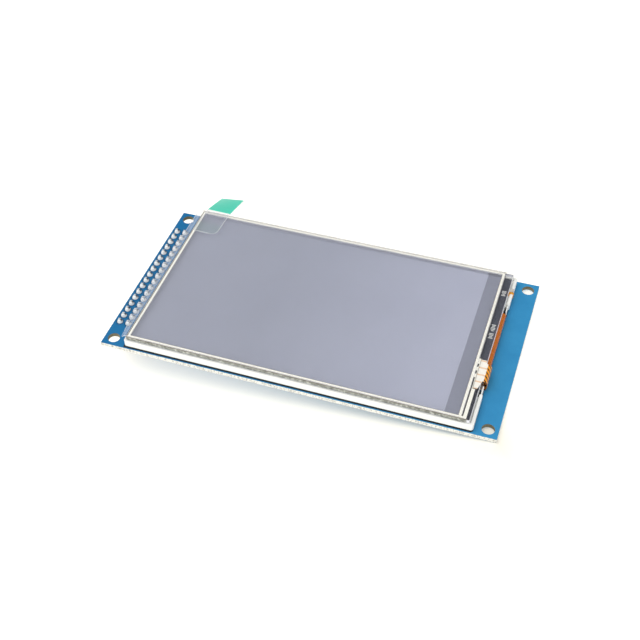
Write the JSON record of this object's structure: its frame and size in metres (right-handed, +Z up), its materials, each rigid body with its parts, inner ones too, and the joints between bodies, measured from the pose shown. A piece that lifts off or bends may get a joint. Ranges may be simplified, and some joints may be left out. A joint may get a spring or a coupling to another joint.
{
  "type": "tft display module",
  "caption": "Colour display panel with a resistive touch layer, taped to a carrier board with corner screw holes and a two-row pin header under one end.",
  "frame": {"origin": "centre of the four mounting holes, on the underside of the circuit board", "axes": "+X along the board from the pin header's end to the flex end, +Y across the board to the back, +Z up through the screen"},
  "size_m": [0.11, 0.0684, 0.0138],
  "materials": {
    "solder_mask": "glass-epoxy board under a glossy blue solder mask",
    "header_plastic": "moulded black nylon",
    "pin_plating": "gold flash over brass",
    "solder": "bright tin solder",
    "black_tape": "black foam tape",
    "white_frame": "moulded white polycarbonate",
    "reflector": "white mirror film",
    "guide_acrylic": "clear acrylic with a dotted back",
    "diffuser": "matt diffusing film",
    "prism": "grooved brightness film",
    "led_resin": "white package with yellow phosphor resin",
    "polyimide": "amber polyimide film over copper",
    "polariser": "smooth grey polarising film",
    "cell_glass": "thin display glass",
    "silicon": "polished silicon",
    "ledge_tape": "dark adhesive tape",
    "gasket": "white double-sided tape",
    "touch_glass": "clear glass with a conductive coating",
    "seal_ink": "printed cream insulating ink",
    "touch_film": "clear hard-coated polyester",
    "tail_polyimide": "amber polyimide with silver tracks",
    "cover_film": "thin clear protective film",
    "green_film": "green polyester tape",
    "chip_resin": "moulded black epoxy",
    "tinned_leads": "matt tin plating",
    "ferrite": "moulded ferrite",
    "capacitor_ceramic": "fired brown ceramic",
    "resistor_glaze": "black glazed face on alumina"
  },
  "bodies": {
    "root": {"circuit_board": "solder_mask", "header_body": "header_plastic", "header_pins": "pin_plating", "solder_joints": "solder", "mounting_tape": "black_tape", "backlight_frame": "white_frame", "reflector_sheet": "reflector", "light_guide": "guide_acrylic", "diffuser_film": "diffuser", "prism_film": "prism", "backlight_leds": "led_resin", "backlight_flex": "polyimide", "rear_polariser": "polariser", "rear_glass": "cell_glass", "front_glass": "cell_glass", "front_polariser": "polariser", "driver_chip": "silicon", "ledge_tape": "ledge_tape", "display_flex": "polyimide", "flex_solder": "solder", "touch_gasket": "gasket", "touch_glass": "touch_glass", "touch_seal": "seal_ink", "touch_film": "touch_film", "touch_tail": "tail_polyimide", "protective_film": "cover_film", "pull_label": "cover_film", "pull_tab": "green_film", "touch_controller": "chip_resin", "controller_leads": "tinned_leads", "voltage_regulator": "chip_resin", "regulator_leads": "tinned_leads", "backlight_driver": "chip_resin", "driver_leads": "tinned_leads", "power_inductor": "ferrite", "rectifier_diode": "chip_resin", "ceramic_capacitors": "capacitor_ceramic", "capacitor_ends": "tinned_leads", "chip_resistors": "resistor_glaze", "resistor_ends": "tinned_leads"}
  },
  "joints": []
}
